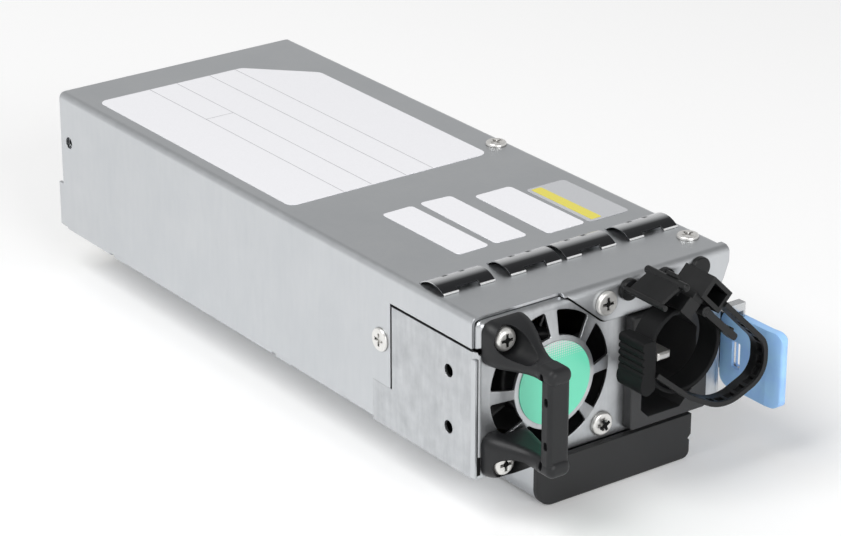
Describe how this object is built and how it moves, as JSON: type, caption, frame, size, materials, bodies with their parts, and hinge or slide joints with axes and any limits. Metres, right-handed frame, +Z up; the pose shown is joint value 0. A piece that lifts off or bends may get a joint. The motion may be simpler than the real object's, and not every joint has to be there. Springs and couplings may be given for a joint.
{
  "type": "hot swap power supply module",
  "caption": "Flat steel power supply case with a front fan behind a pressed grille, mains inlet, pull handle, side latch, cord clamp and a rear contact tongue.",
  "frame": {"origin": "on the front panel's outer face, at mid width of the case, level with the underside of the keel", "axes": "+X to the right seen from the front, +Y from the front panel to the rear contacts, +Z up"},
  "size_m": [0.0831, 0.2187, 0.0565],
  "materials": {
    "case_steel": "galvanised sheet",
    "black_plastic": "moulded, fine grain",
    "nickel": "bright plated",
    "spring_steel": "satin",
    "blue_plastic": "moulded",
    "green_film": "printed film",
    "board_green": "solder mask",
    "gold": "plated contacts",
    "copper": "enamelled wire",
    "bronze": "sintered",
    "aluminium": "extruded",
    "ferrite": "sintered",
    "yellow_plastic": "moulded",
    "clear_film": "sheet",
    "ceramic": "glazed"
  },
  "bodies": {
    "case": {"cover": "case_steel", "front_panel": "case_steel", "base_tray": "case_steel", "keel_trough": "case_steel", "rear_panel": "case_steel", "skirt": "black_plastic", "inlet_housing": "black_plastic", "inlet_pins": "nickel", "push_rivets": "black_plastic", "fan_frame": "black_plastic", "fan_bearing": "bronze", "fan_stator": "copper", "hub_sticker": "green_film", "fan_screws": "nickel", "handle_screws": "nickel", "cover_screws": "nickel", "side_screw": "nickel", "handle": "black_plastic", "latch_foot": "spring_steel", "latch_rivets": "nickel", "guide_rail": "black_plastic", "insulation_film": "clear_film", "board_standoffs": "nickel", "board_screws": "nickel", "circuit_board": "board_green", "edge_contacts": "gold", "bulk_capacitors": "black_plastic", "transformer_core": "ferrite", "transformer_winding": "copper", "primary_heat_sink": "aluminium", "secondary_heat_sink": "aluminium", "power_transistors": "black_plastic", "choke_core": "ferrite", "choke_winding": "copper", "filter_capacitors": "yellow_plastic", "fuse": "ceramic", "output_capacitors": "black_plastic", "control_board": "board_green", "spring_clip_1": "spring_steel", "spring_clip_2": "spring_steel", "spring_clip_3": "spring_steel", "spring_clip_4": "spring_steel"},
    "rotor": {"fan_rotor": "black_plastic", "fan_shaft": "spring_steel"},
    "latch": {"latch_leaf": "spring_steel", "latch_pad": "blue_plastic"},
    "clamp": {"clamp_head": "black_plastic", "clamp_collar": "black_plastic", "clamp_strap": "black_plastic"},
    "pawl": {"release_arm": "black_plastic"}
  },
  "joints": [
    {"name": "fan_spin", "type": "hinge", "parent": "case", "child": "rotor", "pos_m": [-0.01635, 0.01, 0.0322], "axis": [0, 1, 0], "continuous": true},
    {"name": "latch_press", "type": "hinge", "parent": "case", "child": "latch", "pos_m": [0.03735, 0.034, 0.0251], "axis": [0, 0, -1], "range_deg": [0, 2.6], "stiffness_Nm_per_rad": 2},
    {"name": "clamp_slide", "type": "slide", "parent": "case", "child": "clamp", "axis": [0, -1, 0], "range_m": [-0.002, 0.004]},
    {"name": "pawl_release", "type": "hinge", "parent": "clamp", "child": "pawl", "pos_m": [0.01807, -0.015, 0.04648], "axis": [0, 1, 0], "range_deg": [0, 8], "stiffness_Nm_per_rad": 0.01}
  ]
}
